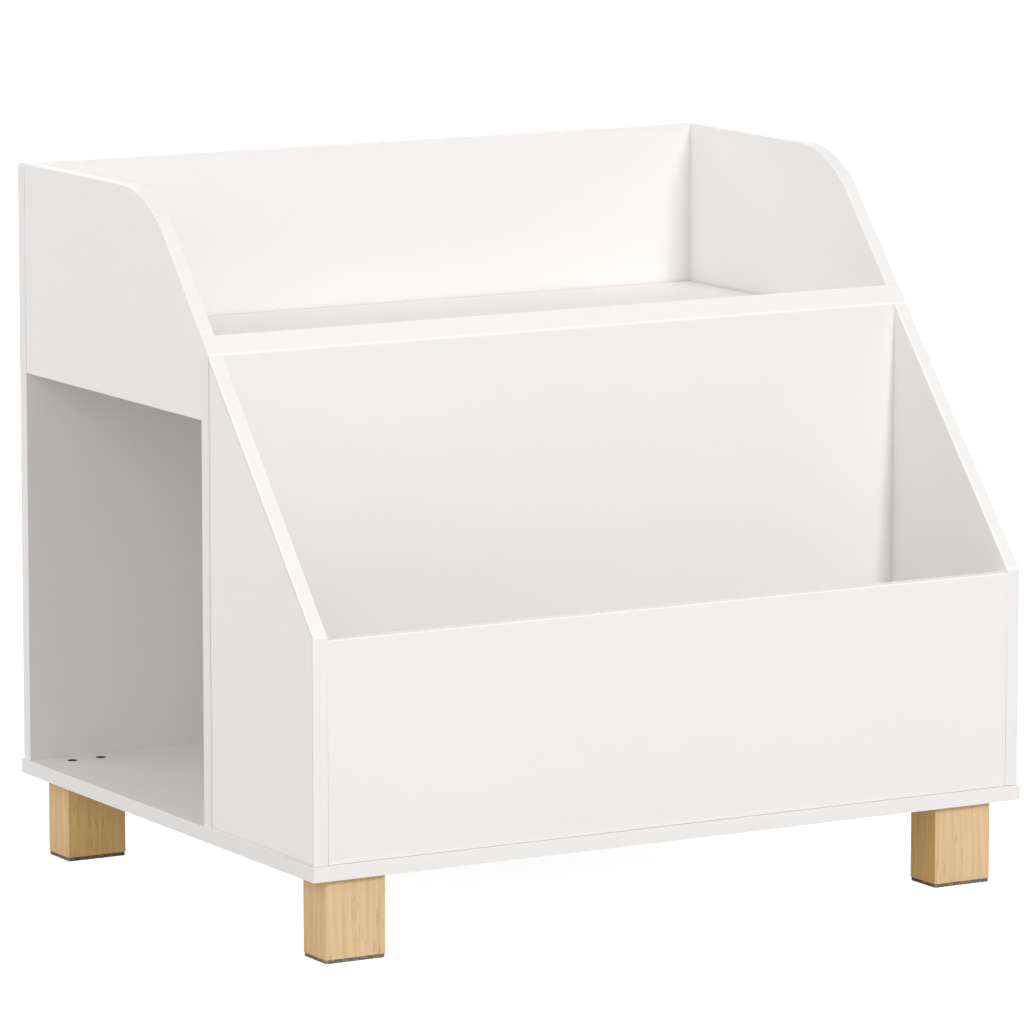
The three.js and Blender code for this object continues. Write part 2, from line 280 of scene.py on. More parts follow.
def raw_core():
    finish = Finish("raw_core", Roughness=0.9)
    sockets = {"Vector": finish.place, "Scale": 900.0}
    chips = finish.node("ShaderNodeTexVoronoi", sockets, "Distance")
    dust = finish.noise(scale=2600.0, detail=3.0)
    # Painted shade: the chips are coloured a dark brown, almost black.
    finish.paint(Base_Color=finish.blend(chips, CORE_SHADE_DARK, CORE_SHADE_LIGHT))
    return finish.emboss(dust, distance=0.2 * MM)


WHITE = white_board()
CORE = raw_core()

# %% [markdown]
# ## Leg wood
#
# The legs are blocks of a light, straight-grained wood under a thin clear lacquer, with the grain upright.
# Wood grows in rings round a centre line, and a block is cut from some way off that line. So the finish
# measures the distance from an upright line. Its fraction gives the rings, which run as stripes on the
# long faces and as arcs on the sawn ends. Fine fibres and short dark pores are noise that is drawn out
# upright, and the pores come in groups. The mesh marks the faces that look left or right, which show more
# of the dark late wood, partly as flat-sawn grain and partly as painted shade. It also marks the faces
# that look in under the bin, which are tinted warmer and darker as painted shade.

# %% Leg wood and dowel wood
RING_SPACING = 5.2 * MM
RING_WANDER = 4.0 * RING_SPACING
RING_DARKENS = (0.05, 0.80)
RING_ENDS = (0.82, 1.0)
PITH_OFFSET = (0.03, 0.02, 0.0)
PORE_GROUPS = (0.44, 0.62)
PORE_EDGE = (0.58, 0.74)
# A warmer, darker tint for the faces that look in under the bin: painted shade.
PAINTED_SHADE_TINT = (1.16, 1.06, 0.76, 1)


def grown_wood(name, early, late, pore, roughness):
    finish = Finish(name, Specular_IOR_Level=0.35)
    wander = finish.noise(scale=30.0, upright=0.15)
    sockets = {"Vector": finish.place, "Location": PITH_OFFSET, "Scale": (1, 1, 0)}
    flat = finish.node("ShaderNodeMapping", sockets)
    from_pith = finish.node("ShaderNodeVectorMath", {0: flat}, "Value", operation="LENGTH")
    growth = (from_pith + wander * RING_WANDER) / RING_SPACING
    phase = finish.node("ShaderNodeMath", {0: growth}, operation="FRACT")
    ring = finish.step(phase, *RING_DARKENS) * (1 - finish.step(phase, *RING_ENDS))
    bands = finish.noise(scale=110.0, upright=0.10)
    streaks = finish.noise(scale=480.0, upright=0.055, detail=3.0, roughness=0.6)
    fibres = finish.noise(scale=1900.0, upright=0.02, detail=3.0, roughness=0.6)
    groups = finish.step(finish.noise(scale=55.0, upright=0.3, detail=1.0), *PORE_GROUPS)
    pores = finish.step(finish.noise(scale=760.0, upright=0.09), *PORE_EDGE) * groups
    grain = ring * 0.30 + bands * 0.85 + streaks * 0.65 + fibres * 0.30 - 0.66
    # Side faces take more late wood, partly as flat-sawn grain and partly as painted shade; inward faces
    # take the painted shade tint.
    unshaded_wood = finish.blend(grain + finish.mark("flat_sawn") * 0.50, early, late)
    body = finish.blend(finish.mark("heart"), unshaded_wood, PAINTED_SHADE_TINT, "MULTIPLY")
    finish.paint(
        Base_Color=finish.blend(pores * 0.55, body, pore),
        Roughness=roughness + fibres * 0.12 + pores * 0.15,
    )
    return finish.emboss(fibres * 0.5 + ring * 0.2 - pores * 0.5, distance=0.06 * MM, strength=0.7)


LEG_WOOD = grown_wood(
    "leg_wood",
    early=(0.85, 0.63, 0.40, 1),
    late=(0.70, 0.45, 0.205, 1),
    pore=(0.37, 0.205, 0.085, 1),
    roughness=0.45,
)
DOWEL_WOOD = grown_wood(
    "dowel_wood",
    early=(0.66, 0.47, 0.29, 1),
    late=(0.55, 0.37, 0.21, 1),
    pore=(0.36, 0.21, 0.10, 1),
    roughness=0.6,
)

# %% [markdown]
# ## Felt, steel and zinc
#
# The glides under the legs are dark pressed felt, mixed with a few pale fibres: short hairs in every
# direction, no shine at all. The screws are zinc-plated steel, bright with a faint satin. The cam locks
# are die-cast, so they are duller and slightly grainy. All three are layers of noise, fine on coarse,
# because none of them has a pattern that repeats.

# %% Felt, steel and zinc
FELT_DARK = (0.055, 0.050, 0.046, 1)
FELT_GREY = (0.28, 0.255, 0.235, 1)
FELT_PALE = (0.55, 0.50, 0.43, 1)
FLECK_EDGE = (0.48, 0.60)
STEEL_DARK = (0.56, 0.565, 0.57, 1)
STEEL_LIGHT = (0.70, 0.70, 0.69, 1)
ZINC_DARK = (0.40, 0.41, 0.42, 1)
ZINC_LIGHT = (0.54, 0.54, 0.53, 1)


def pressed_felt():
    finish = Finish("pressed_felt", Roughness=0.97, Specular_IOR_Level=0.15)
    tufts = finish.noise(scale=700.0, detail=4.0, roughness=0.7)
    hairs = finish.noise(scale=2600.0, upright=3.0, detail=3.0, roughness=0.6)
    specks = finish.noise(scale=800.0, detail=3.0, roughness=0.7)
    dark = finish.blend(tufts * 0.6 + hairs * 0.5 - 0.05, FELT_DARK, FELT_GREY)
    finish.paint(Base_Color=finish.blend(finish.step(specks, *FLECK_EDGE) * 0.8, dark, FELT_PALE))
    return finish.emboss(tufts * 0.6 + hairs * 0.4, distance=0.5 * MM)


def plated_steel():
    finish = Finish("plated_steel", Metallic=1.0)
    haze = finish.noise(scale=420.0, detail=3.0)
    scuffs = finish.noise(scale=3000.0)
    finish.paint(
        Base_Color=finish.blend(haze, STEEL_DARK, STEEL_LIGHT),
        Roughness=0.26 + haze * 0.16 + scuffs * 0.06,
    )
    return finish.emboss(scuffs, distance=0.01 * MM, strength=0.5)


def cast_zinc():
    finish = Finish("cast_zinc", Metallic=1.0)
    grain = finish.noise(scale=1800.0, detail=3.0, roughness=0.6)
    tarnish = finish.noise(scale=260.0)
    finish.paint(
        Base_Color=finish.blend(tarnish, ZINC_DARK, ZINC_LIGHT),
        Roughness=0.42 + grain * 0.2,
    )
    return finish.emboss(grain, distance=0.03 * MM)


FELT = pressed_felt()
STEEL = plated_steel()
ZINC = cast_zinc()

# %% [markdown]
# ## From evaluated object to plain mesh
#
# Geometry Nodes and modifiers only describe a shape. Before a piece joins the bin, that shape is turned
# into a plain mesh and the modifiers are taken off, so that what is seen is what is kept. Faces are shaded
# smooth except across real corners, and normals are weighted by area, so that a board stays flat right up
# to its rounded edge.

# %% Helpers that turn a description into a mesh
CREASE = math.radians(35)


def object_of(shape, name, *materials):
    """Turns a bmesh into an object and lets the bmesh go."""
    mesh = bpy.data.meshes.new(name)
    shape.to_mesh(mesh)
    shape.free()
    for material in materials:
        mesh.materials.append(material)
    return link_object(name, mesh)


def settle(piece):
    """Replaces a piece's mesh by what its modifiers make of it."""
    graph = bpy.context.evaluated_depsgraph_get()
    mesh = bpy.data.meshes.new_from_object(piece.evaluated_get(graph), depsgraph=graph)
    piece.modifiers.clear()
    piece.data = mesh
    mesh.name = piece.name
    return piece


def smooth(piece):
    """Shades a piece smooth, apart from its real corners."""
    piece.data.shade_smooth()
    piece.data.set_sharp_from_angle(angle=CREASE)
    weighted = piece.modifiers.new("even_normals", "WEIGHTED_NORMAL")
    weighted.keep_sharp = True
    return settle(piece)


def run_tree(name, graph, mesh, values):
    """Gives a mesh to a geometry tree and keeps what comes out."""
    piece = link_object(name, mesh)
    modifier = piece.modifiers.new("tree", "NODES")
    modifier.node_group = graph.tree
    for item in graph.tree.interface.items_tree:
        if item.in_out == "INPUT" and item.name in values:
            modifier[item.identifier] = values[item.name]
    return settle(piece)


def finish_piece(piece, slot, *nodes):
    """Shades a piece, hides the frame's nodes that it takes the place of and lets it ride with the bin."""
    smooth(piece)
    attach(piece, "root")
    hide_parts(*nodes)
    triangles = sum(len(p.vertices) - 2 for p in piece.data.polygons)
    print(f"{piece.name}: {triangles} triangles for {len(nodes)} nodes")


# %% [markdown]
# ## Where the fixings are
#
# A screw's own box in the frame tells nearly everything: its longest side is the screw's axis and length,
# and its shorter sides are the head's diameter. Only the way that the head looks is not in the box, so it
# is given for each family of screws by a part of its name.

# %% Places of the screws and cams
ALONG_X, ALONG_Y, ALONG_Z = 0, 1, 2
UP, DOWN = Vector((0, 0, 1)), Vector((0, 0, -1))
FORWARD, BACK = Vector((0, -1, 0)), Vector((0, 1, 0))
SCREW_FAMILIES = {
    "leg_screws": ("leg_screw", UP),
    "bottom_screws": ("bottom_screw", DOWN),
    "back_screws": ("back_screw", BACK),
    "side_board_screws": ("front_screw", FORWARD),
}


def nodes_with(part):
    """The frame's nodes that have this in their name."""
    return sorted(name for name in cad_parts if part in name)


def end_of(node, way):
    """The middle of the node's face that looks this way."""
    low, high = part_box(node)
    middle = (low + high) / 2
    return middle + way * (abs((high - low).dot(way)) / 2)


def axis_of(node, pick):
    """The axis along which a node's box is longest, or shortest if pick is min."""
    low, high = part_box(node)
    return pick(range(3), key=lambda axis: high[axis] - low[axis])


def cam_way(node):
    """A cam's face looks out of the board that holds it, into the bin or down into the cubby."""
    thin = axis_of(node, min)
    if thin == ALONG_X:
        return Vector((-1 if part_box(node)[0].x > 0 else 1, 0, 0))
    return BACK if thin == ALONG_Y else DOWN


screws = {
    family: [(node, end_of(node, way), way) for node in nodes_with(part)]
    for family, (part, way) in SCREW_FAMILIES.items()
}
cam_nodes = [node for node in nodes_with("_cam") if not node.endswith("_bolt")]
cams = [(node, end_of(node, cam_way(node)), cam_way(node)) for node in cam_nodes]
print("screws:", {family: len(places) for family, places in screws.items()}, "cams:", len(cams))

# %% [markdown]
# ## A tree for turned fixings
#
# A screw is a turned shape: a disc that is pushed down and scaled, step by step, gives the head, the cone
# under it, the shank and the tip. One method adds those steps to any tree. The screw tree then cuts a
# cross recess into the head with a boolean, winds a thread round the shank by sweeping a small triangle
# along a spiral, and puts a copy on every point that it is given, turned to the way that the point says.
# With the finer detail switched off and its sizes grown by a clearance, the same tree makes the bores.


# %% Turned shapes, recesses and copies on points
# Shares of a cross recess's depth. They differ, so that no two faces lie in one plane.
BAR_DEPTHS = (2.0, 2.02)
POINT_DEPTH = 2.3
POINT_DROP = -1.14


class ShapeTree(Graph):
    """A Geometry Nodes tree with a number input for every named size."""

    def __init__(self, name, sizes):
        tree = bpy.data.node_groups.new(name, "GeometryNodeTree")
        super().__init__(tree)
        kinds = {"Geometry": "Geometry"} | dict.fromkeys(sizes, "Float")
        kinds |= {"Detailed": "Bool", "Material": "Material"}
        tree.interface.new_socket("Geometry", in_out="OUTPUT", socket_type="NodeSocketGeometry")
        for size, kind in kinds.items():
            tree.interface.new_socket(size, in_out="INPUT", socket_type=f"NodeSocket{kind}")
        self.given = self.node("NodeGroupInput")
        self.sizes = [self.given.out(size) for size in sizes]

    def turned(self, sides, steps):
        """A closed turned shape from (radius, height) steps, from the top down."""
        radius, height = steps[0]
        sockets = {"Vertices": sides, "Radius": radius}
        disc = self.node("GeometryNodeMeshCircle", sockets, fill_type="NGON")
        top = self.moved(disc, 0, 0, height)
        shape = self.node("GeometryNodeFlipFaces", {"Mesh": top})
        end = True
        for next_radius, next_height in steps[1:]:
            move = self.xyz(0, 0, next_height - height)
            sockets = {"Mesh": shape, "Selection": end, "Offset": move, "Individual": False}
            shape = self.node("GeometryNodeExtrudeMesh", sockets, mode="FACES")
            end = shape.out("Top")
            sockets = {"Geometry": shape, "Selection": end, "Scale": next_radius / radius}
            shape = self.node("GeometryNodeScaleElements", sockets, domain="FACE")
            radius, height = next_radius, next_height
        return self.node("GeometryNodeMergeByDistance", {"Geometry": self.joined(top, shape)})

    def moved(self, shape, x, y, z):
        sockets = {"Geometry": shape, "Translation": self.xyz(x, y, z)}
        return self.node("GeometryNodeTransform", sockets)

    def joined(self, *shapes):
        return self.node("GeometryNodeJoinGeometry", {"Geometry": list(shapes)})

    def cut(self, body, cutters):
        sockets = {"Mesh 1": body, "Mesh 2": cutters}
        return self.node("GeometryNodeMeshBoolean", sockets, operation="DIFFERENCE", solver="EXACT")

    def cross(self, radius, height, width, slot, depth):
        """Two crossed bars and a blunt point between them, half sunk, as the bit of a tool would stand.

        Width and slot are shares of the radius, and the depth is a share of the height.
        """
        wide, thin, deep = radius * width, radius * slot, height * depth
        first, second = [deep * share for share in BAR_DEPTHS]
        bars = [
            self.node("GeometryNodeMeshCube", {"Size": size})
            for size in (self.xyz(wide, thin, first), self.xyz(thin, wide, second))
        ]
        sizes = {"Vertices": 12, "Radius Top": wide * 0.36, "Radius Bottom": thin * 0.3}
        point = self.node("GeometryNodeMeshCone", sizes | {"Depth": deep * POINT_DEPTH})
        return bars + [self.moved(point, 0, 0, deep * POINT_DROP)]

    def place_copies(self, plain, detailed):
        """Ends the tree with a copy on every given point, its Z axis turned to the point's way."""
        sockets = {"Switch": self.given.out("Detailed"), "False": plain, "True": detailed}
        shape = self.node("GeometryNodeSwitch", sockets, input_type="GEOMETRY")
        way = self.node("GeometryNodeInputNamedAttribute", {"Name": "way"}, data_type="FLOAT_VECTOR")
        turn = self.node("FunctionNodeAlignRotationToVector", {"Vector": way}, axis="Z")
        sockets = {"Points": self.given, "Instance": shape, "Rotation": turn}
        self.end_with(self.node("GeometryNodeInstanceOnPoints", sockets))

    def end_with(self, shape):
        """Makes copies real and gives everything its material."""
        real = self.node("GeometryNodeRealizeInstances", {"Geometry": shape})
        sockets = {"Geometry": real, "Material": self.given.out("Material")}
        painted = self.node("GeometryNodeSetMaterial", sockets)
        self.feed(self.tree.nodes.new("NodeGroupOutput").inputs[0], painted)
        print("tree:", self.tree.name, "of", len(self.tree.nodes), "nodes")


# %% The screw tree
ROUND_SIDES = 32
SCREW_SIZES = [
    "Length", "Shank Diameter", "Head Diameter", "Head Height", "Rim", "Tip", "Opening", "Thread Pitch"
]
TIP_SHARE = 0.12
HEADS_ABOVE_THREAD = 2
RIDGE_SHARE = 0.3


def screw_tree():
    tree = ShapeTree("countersunk_screw", SCREW_SIZES)
    length, shank_width, head_width, head_height, rim, tip, opening, pitch = tree.sizes
    head = head_width / 2
    shank = shank_width / 2
    tip_top = tip - length
    steps = [(head, opening), (head, -rim), (shank, -head_height), (shank, tip_top)]
    body = tree.turned(ROUND_SIDES, steps + [(shank * TIP_SHARE, -length)])
    recessed = tree.cut(body, tree.cross(head, head_height, width=1.2, slot=0.25, depth=0.7))
    thread_length = length - tip - head_height * HEADS_ABOVE_THREAD
    coil = {"Resolution": 16, "Rotations": thread_length / pitch, "Height": thread_length}
    coil |= {"Start Radius": shank, "End Radius": shank}
    spiral = tree.moved(tree.node("GeometryNodeCurveSpiral", coil), 0, 0, tip_top)
    triangle = {"Resolution": 3, "Radius": pitch * RIDGE_SHARE}
    ridge = tree.node("GeometryNodeCurvePrimitiveCircle", triangle)
    sockets = {"Curve": spiral, "Profile Curve": ridge, "Fill Caps": True}
    thread = tree.node("GeometryNodeCurveToMesh", sockets)
    tree.place_copies(body, tree.joined(recessed, thread))
    return tree


SCREW_TREE = screw_tree()

# %% [markdown]
# A cam lock is a small disc let into a board. Turned with a tool, it pulls on the head of a bolt. Its face
# has a cross recess and a small arrow that shows which way it points. Without those two, the same tree
# makes a plain round bore.

# %% The cam tree, which makes plain round bores too
CAM_SIZES = ["Diameter", "Depth", "Opening", "Chamfer"]
ARROW_PLACE = 0.78


def cam_tree():
    tree = ShapeTree("cam_lock", CAM_SIZES)
    width, depth, opening, chamfer = tree.sizes
    radius = width / 2
    narrow = radius - chamfer
    steps = [(narrow, opening), (radius, opening - chamfer), (radius, chamfer - depth), (narrow, -depth)]
    body = tree.turned(ROUND_SIDES, steps)
    sizes = {"Vertices": 3, "Radius": radius * 0.15, "Depth": depth * 0.12}
    arrow = tree.moved(tree.node("GeometryNodeMeshCylinder", sizes), radius * ARROW_PLACE, 0, 0)
    cross = tree.cross(radius, depth, width=1.3, slot=0.26, depth=0.28)
    tree.place_copies(body, tree.cut(body, cross + [arrow]))
    return tree


CAM_TREE = cam_tree()

# %% Sizes of the fixings, and of their bores
SHANK_DIAMETER = 4 * MM
THREAD_CORE_SHARE = 0.7
HEAD_HEIGHT = 3 * MM
HEAD_RIM = 0.6 * MM
TIP_LENGTH = 5 * MM
THREAD_PITCH = 1.9 * MM
CAM_CHAMFER = 0.4 * MM
BORE_CHAMFER = 0.05 * MM
CLEARANCE = 0.3 * MM
BORE_OPENING = 4 * MM


def sides_of(node):
    """The three sides of a node's box, the shortest first."""
    low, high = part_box(node)
    return sorted(high - low)


def screw_sizes(node, clearance, shank, opening):
    """What the screw tree needs for a node's own size, grown by a clearance."""
    return {
        "Length": sides_of(node)[2] + clearance,
        "Shank Diameter": shank + 2 * clearance,
        "Head Diameter": sides_of(node)[1] + 2 * clearance,
        "Head Height": HEAD_HEIGHT + clearance,
        "Rim": HEAD_RIM + clearance,
        "Tip": TIP_LENGTH,
        "Opening": opening,
        "Thread Pitch": THREAD_PITCH,
    }


def points_mesh(places):
    """Points that carry the way that each fixing looks."""
    mesh = bpy.data.meshes.new("places")
    mesh.from_pydata([place for node, place, way in places], [], [])
    ways = mesh.attributes.new("way", "FLOAT_VECTOR", "POINT")
    for index, (node, place, way) in enumerate(places):
        ways.data[index].vector = way
    return mesh


# %% Make the screws
for family, places in screws.items():
    nodes = [node for node, place, way in places]
    sizes = screw_sizes(nodes[0], 0.0, SHANK_DIAMETER * THREAD_CORE_SHARE, 0.0)
    sizes |= {"Detailed": True, "Material": STEEL}
    finish_piece(run_tree(family, SCREW_TREE, points_mesh(places), sizes), "screw_steel", *nodes)

# %% [markdown]
# ## Bores
#
# Every fixing sits in a bore, and the bores show: as dark holes in the floor of the cubby, and as
# countersinks on the back and the underside. A board is bored by the fixings whose boxes reach into its
# own box. Their grown shapes are joined into one cutter, and a Boolean modifier takes it away. The cutter
# has the raw board as its material, painted dark as shade, and the modifier hands that on to the walls of
# the bores.

# %% Bore a piece
REACH = 0.2 * MM


def meet(first, second, margin):
    """True for two boxes that meet when one of them is grown by a margin, which may be negative."""
    (low, high), (other_low, other_high) = first, second
    return all(low[a] - margin < other_high[a] and other_low[a] - margin < high[a] for a in range(3))


def rod_end(node):
    """A bolt or dowel has no head, so either end of its longest side will do."""
    way = Vector((0, 0, 0))
    way[axis_of(node, max)] = 1
    return node, end_of(node, way), way


rods = [rod_end(node) for node in nodes_with("_cam_bolt") + nodes_with("_dowel")]
print("rods:", len(rods))


def cutters_for(low, high, with_cams=True):
    """Objects of the shape of every bore that reaches into a box."""
    made = []
    for one in [one for places in screws.values() for one in places]:
        if meet(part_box(one[0]), (low, high), -REACH):
            sizes = screw_sizes(one[0], CLEARANCE, SHANK_DIAMETER, BORE_OPENING)
            made.append(run_tree("cutter", SCREW_TREE, points_mesh([one]), sizes | {"Material": CORE}))
    for one in rods + (cams if with_cams else []):
        if meet(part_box(one[0]), (low, high), -REACH):
            short, middle, long = sides_of(one[0])
            is_cam = one in cams
            sizes = {
                "Diameter": (long if is_cam else middle) + 2 * CLEARANCE,
                "Depth": (short if is_cam else long) + CLEARANCE,
                "Opening": BORE_OPENING if is_cam else CLEARANCE,
                "Chamfer": BORE_CHAMFER,
            }
            made.append(run_tree("cutter", CAM_TREE, points_mesh([one]), sizes | {"Material": CORE}))
    return made


def bore(piece, low, high, with_cams=True):
    """Takes the bores out of a piece that lies between two corners."""
    cutters = cutters_for(low, high, with_cams)
    if not cutters:
        return piece
    joined = bmesh.new()
    for cutter in cutters:
        joined.from_mesh(cutter.data)
        bpy.data.objects.remove(cutter)
    bmesh.ops.recalc_face_normals(joined, faces=joined.faces[:])
    cutter = object_of(joined, "cutter", CORE)
    boolean = piece.modifiers.new("bores", "BOOLEAN")
    boolean.operation = "DIFFERENCE"
    boolean.solver = "EXACT"
    boolean.material_mode = "TRANSFER"
    boolean.object = cutter
    settle(piece)
    bpy.data.objects.remove(cutter)
    return piece


# %% Make the cam locks
cam_sides = sides_of(cams[0][0])
sizes = {"Diameter": cam_sides[2], "Depth": cam_sides[0], "Opening": 0.0, "Chamfer": CAM_CHAMFER}
sizes |= {"Detailed": True, "Material": ZINC}
cam_locks = run_tree("cam_locks", CAM_TREE, points_mesh(cams), sizes)
bore(cam_locks, cad_low, cad_high, with_cams=False)
finish_piece(cam_locks, "cam_zinc", *cam_nodes)

# %% [markdown]
# ## The boards
#
# Each board is an outline with a thickness. Its free arrises are eased, as those of a trimmed edge band
# are, and together with the painted highlight on them that is what makes the thin bright lines along the
# edges. Where another board lies against it, an edge stays sharp, so that the joint is a hairline. A Bevel
# modifier does both at once, because it scales its width by a weight on each edge. Its clamp on overlaps
# is off: on a board with a small round corner it would shrink every arris to almost nothing. The faces
# that it makes get a material number of their own, by which they are found and marked for the painted
# highlight.
#
# On the outer side of the cheeks a glue line shows between band and facing, a little in from the arris: a
# groove as thin as a hair, made by three insets of the large face.

# %% Outlines with round corners
ARC_STEP = math.radians(2.5)


def rounded(corners, arc_step=ARC_STEP):
    """An outline's points, from (u, v, radius) corners in anticlockwise order."""
    points = []
    for index, (u, v, radius) in enumerate(corners):
        corner = Vector((u, v))
        if not radius:
            points.append(corner)
            continue
        before = (Vector(corners[index - 1][:2]) - corner).normalized()
        after = (Vector(corners[(index + 1) % len(corners)][:2]) - corner).normalized()
        opening = before.angle(after)
        centre = corner + (before + after).normalized() * (radius / math.sin(opening / 2))
        first = corner + before * (radius / math.tan(opening / 2)) - centre
        sweep = math.pi - opening
        steps = math.ceil(sweep / arc_step)
        for step in range(steps + 1):
            turn = sweep * step / steps
            points.append(centre + Vector((
                first.x * math.cos(turn) - first.y * math.sin(turn),
                first.x * math.sin(turn) + first.y * math.cos(turn),
            )))
    return points


def box_outline(node, axis, inset=0.0, lower=0.0, upper=0.0):
    """The corners of a node's box, seen along an axis, moved inwards, and rounded below and above."""
    low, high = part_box(node)
    u, v = [a for a in range(3) if a != axis]
    left, right = low[u] + inset, high[u] - inset
    bottom, top = low[v] + inset, high[v] - inset
    return [(left, bottom, lower), (right, bottom, lower), (right, top, upper), (left, top, upper)]


# %% A board from its outline
BOARDS = [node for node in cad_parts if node.endswith(("_panel", "_board", "_cheek", "tray_floor"))]
print("boards:", len(BOARDS))


def slab(node, axis, corners):
    """An outline, pushed from one side of a node's box to the other."""
    low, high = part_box(node)
    shape = bmesh.new()
    u, v = [a for a in range(3) if a != axis]
    ring = []
    for point in rounded(corners):
        place = Vector((0, 0, 0))
        place[axis], place[u], place[v] = low[axis], point.x, point.y
        ring.append(shape.verts.new(place))
    sheet = shape.faces.new(ring)
    pushed = bmesh.ops.extrude_face_region(shape, geom=[sheet], use_keep_orig=True)["geom"]
    move = Vector((0, 0, 0))
    move[axis] = high[axis] - low[axis]
    far_side = [part for part in pushed if isinstance(part, bmesh.types.BMVert)]
    bmesh.ops.translate(shape, vec=move, verts=far_side)
    bmesh.ops.recalc_face_normals(shape, faces=shape.faces[:])
    return shape


# %% [markdown]
# Which arrises are free is not written down anywhere, but the frame knows: an edge is joined where points
# along it lie on the box of another board, give or take a seam. Edges inside a round corner hardly turn at
# all and are no arrises.

# %% Which arrises are free
SHARP = math.radians(12)
TOUCH = 1.45 * MM
EDGE_SAMPLES = 20
JOINED_SHARE = 0.15


def is_joined(edge, others):
    """True where a good part of an edge lies on the boxes of other boards."""
    first, last = [vertex.co for vertex in edge.verts]
    points = [first.lerp(last, (sample + 0.5) / EDGE_SAMPLES) for sample in range(EDGE_SAMPLES)]
    joined = sum(any(meet((point, point), box, TOUCH) for box in others) for point in points)
    return joined > JOINED_SHARE * EDGE_SAMPLES


def weigh_arrises(shape, node):
    """Says on each edge whether it is eased: 1 on free arrises, 0 where boards are joined."""
    weight = shape.edges.layers.float.new("bevel_weight_edge")
    others = [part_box(other) for other in BOARDS if other != node]
    for edge in shape.edges:
        if edge.calc_face_angle() > SHARP:
            edge[weight] = 0 if is_joined(edge, others) else 1


# %% Ease, band and bore a board
ARRIS = 1.0 * MM
BOTTOM_ARRIS = 0.15 * MM
BACK_ARRIS = 0.4 * MM
ARRIS_STEPS = 4
ARRIS_MATERIAL = 1
BAND_WIDTH = 1.2 * MM
GLUE_WIDTH = 0.14 * MM
GLUE_STRENGTH = 0.65
GLUE_STEPS = (
    (BAND_WIDTH, 0, 0),
    (GLUE_WIDTH, -GLUE_WIDTH, GLUE_STRENGTH),
    (GLUE_WIDTH, GLUE_WIDTH, GLUE_STRENGTH),
)


def eased(piece, width):
    """Rounds the arrises that carry a weight, and numbers the new faces."""
    bevel = piece.modifiers.new("arrises", "BEVEL")
    bevel.width = width
    bevel.segments = ARRIS_STEPS
    bevel.limit_method = "WEIGHT"
    bevel.use_clamp_overlap = False
    bevel.material = ARRIS_MATERIAL
    return settle(piece)


def is_outer(face, axis):
    """True on the side of a board that looks away from the middle of the bin."""
    return face.normal[axis] * face.calc_center_median()[axis] > 0


def add_bands(piece, axis, glued, arris_highlight):
    """Marks bands and the painted highlight on arrises and, where it shows, sinks the glue line into the
    outer facing.
    """
    shape = bmesh.new()
    shape.from_mesh(piece.data)
    band = shape.faces.layers.float.new("band")
    glue = shape.faces.layers.float.new("glue")
    arris = shape.faces.layers.float.new("arris")
    facings = sorted(shape.faces, key=lambda face: face.calc_area())[-2:]
    for face in shape.faces:
        face[band] = 1
        # The arris faces carry the share of the painted highlight.
        face[arris] = arris_highlight if face.material_index == ARRIS_MATERIAL else 0
        face.material_index = 0
    for facing in facings:
        if glued and is_outer(facing, axis):
            for width, depth, strength in GLUE_STEPS:
                sizes = {"thickness": width, "depth": depth, "use_even_offset": True, "use_boundary": True}
                made = bmesh.ops.inset_region(shape, faces=[facing], **sizes)
                for face in made["faces"]:
                    face[band] = 1
                    face[glue] = strength
        facing[band] = 0
    shape.to_mesh(piece.data)
    shape.free()


def close_inside(shape, reach, rise):
    """Brings a rear edge up to the board behind it, but only on the inner side."""
    rear = max(vertex.co.y for vertex in shape.verts)
    inner = min(abs(vertex.co.x) for vertex in shape.verts)
    top = max(vertex.co.z for vertex in shape.verts)
    for vertex in shape.verts:
        if rear - vertex.co.y < REACH and abs(vertex.co.x) - inner < REACH:
            vertex.co.y += reach
            vertex.co.z += rise if top - vertex.co.z < REACH else 0


def board(node, axis, corners, glued=False, inner_reach=0.0, inner_rise=0.0, arris=ARRIS, arris_highlight=1.0):
    """A board with eased arrises, edge bands and bores, in the place of a node."""
    shape = slab(node, axis, corners)
    if inner_reach:
        close_inside(shape, inner_reach, inner_rise)
    weigh_arrises(shape, node)
    piece = eased(object_of(shape, f"{node}_visual", WHITE, CORE), arris)
    add_bands(piece, axis, glued, arris_highlight)
    bore(piece, *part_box(node))
    finish_piece(piece, "white_board", node)


# %% [markdown]
# One straight slope runs through the whole side of the bin: along the cheek, across the divider's bevelled
# top edge and on up the side board, which then rounds over to a level top. The slope is found from the
# frame: it starts a little above the front panel, and it passes the top of the divider's rear face.
#
# Boards that are pulled together never quite close, and the dark seams that stay are part of the look:
# behind the cheeks and the side boards, under the cheeks and the front panel, at the front panel's ends
# and round the tray floor. Behind a cheek or a side board the seam is open on the outer side only. On the
# inner side the board is brought up to its neighbour, so that no light falls through.

# %% The slope and the outlines that follow it
CHEEK_ABOVE_FRONT_PANEL = 3 * MM
CHEEK_GAP = 0.5 * MM
BACK_GAP = 0.3 * MM
CLOSED = 0.28 * MM
TRAY_GAP = 1.1 * MM
FOOT_GAP = 0.3 * MM
BOARD_CORNER_RADIUS = 100 * MM
BACK_CORNER_RADIUS = 4 * MM

divider_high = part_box("divider_panel")[1]
cheek_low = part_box("left_front_cheek")[0]
cheek_front_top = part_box("front_panel")[1].z + CHEEK_ABOVE_FRONT_PANEL
slope = (divider_high.z - cheek_front_top) / (divider_high.y - cheek_low.y)


def slope_height(y):
    """How high the slope is above the floor, at a place from front to back."""
    return cheek_front_top + (y - cheek_low.y) * slope


def under_slope(node, gap=0.0):
    """The outline of a board whose top edge follows the slope, with gaps behind and under a cheek."""
    low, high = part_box(node)
    rear = high.y - gap
    return [
        (low.y, low.z + (FOOT_GAP if gap else 0), 0),
        (rear, low.z - (CLOSED if gap else 0), 0),
        (rear, slope_height(rear), 0),
        (low.y, slope_height(low.y), 0),
    ]


